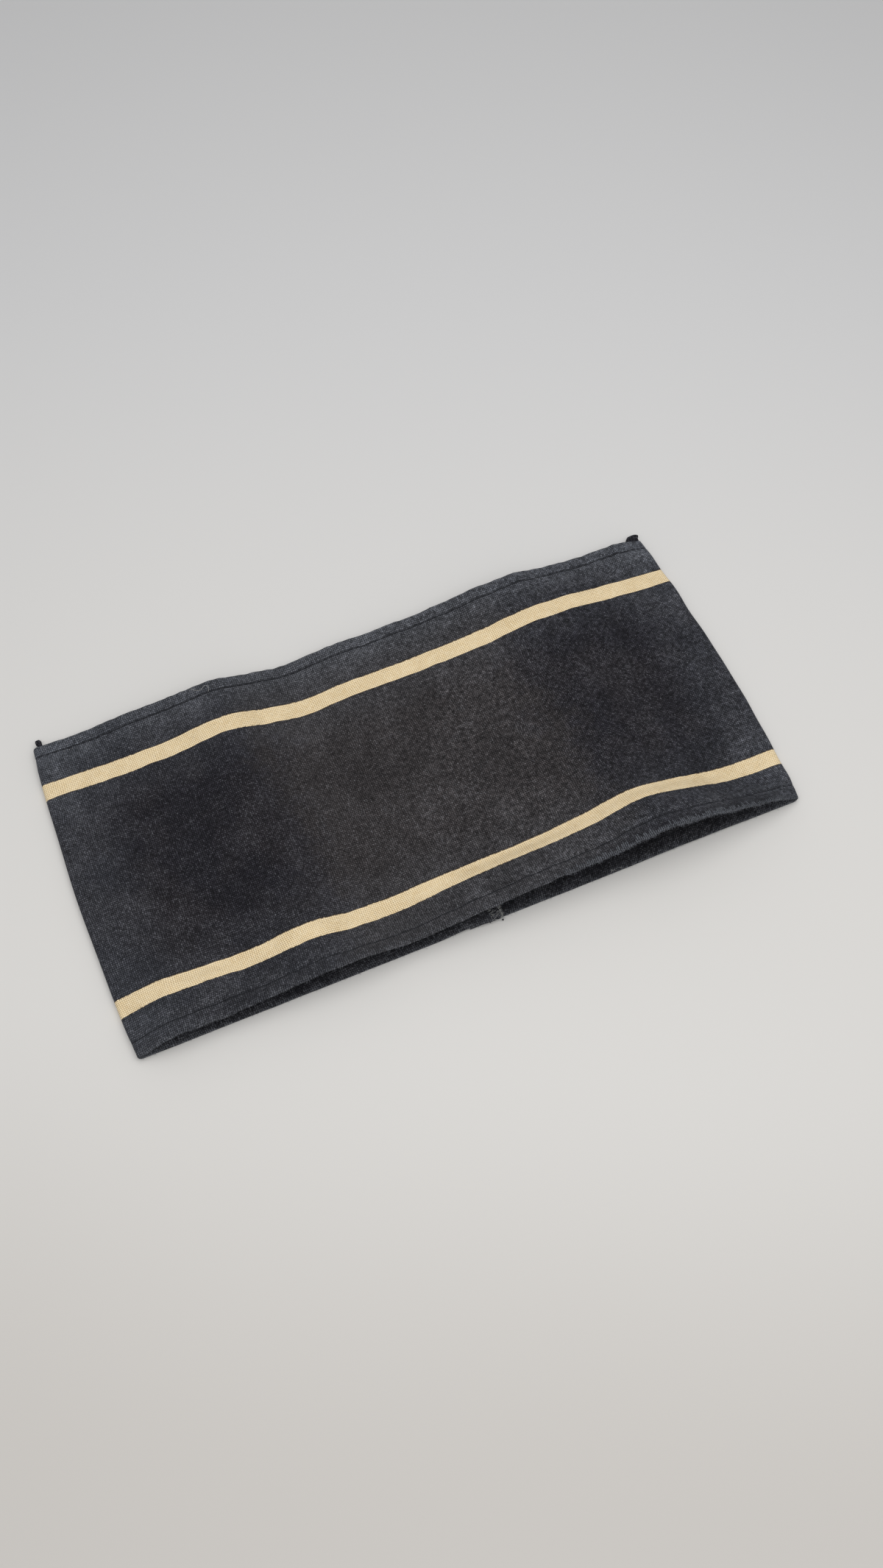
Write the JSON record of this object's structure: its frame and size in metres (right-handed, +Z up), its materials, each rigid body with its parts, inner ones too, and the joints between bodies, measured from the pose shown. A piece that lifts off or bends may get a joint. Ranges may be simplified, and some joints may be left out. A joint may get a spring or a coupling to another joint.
{
  "type": "striped cloth armband",
  "caption": "Dark woven cloth armband lying flat as a loop, hemmed along both edges, with two light stripes round it and a rippled upper layer.",
  "frame": {"origin": "on the surface that the armband lies on, under the middle of its box", "axes": "+X along the band from fold to fold, +Y across it towards the upper edge, +Z up from the surface"},
  "size_m": [0.222, 0.1124, 0.0191],
  "materials": {
    "dark_cloth": "plain-weave cotton printed near black, worn grey on the thread tops",
    "light_cloth": "bare plain-weave cotton, aged cream"
  },
  "bodies": {
    "root": {"band": "dark_cloth", "left_hem_tuck": "dark_cloth", "right_hem_tuck": "dark_cloth", "lower_stripe": "light_cloth", "upper_stripe": "light_cloth"}
  },
  "joints": []
}
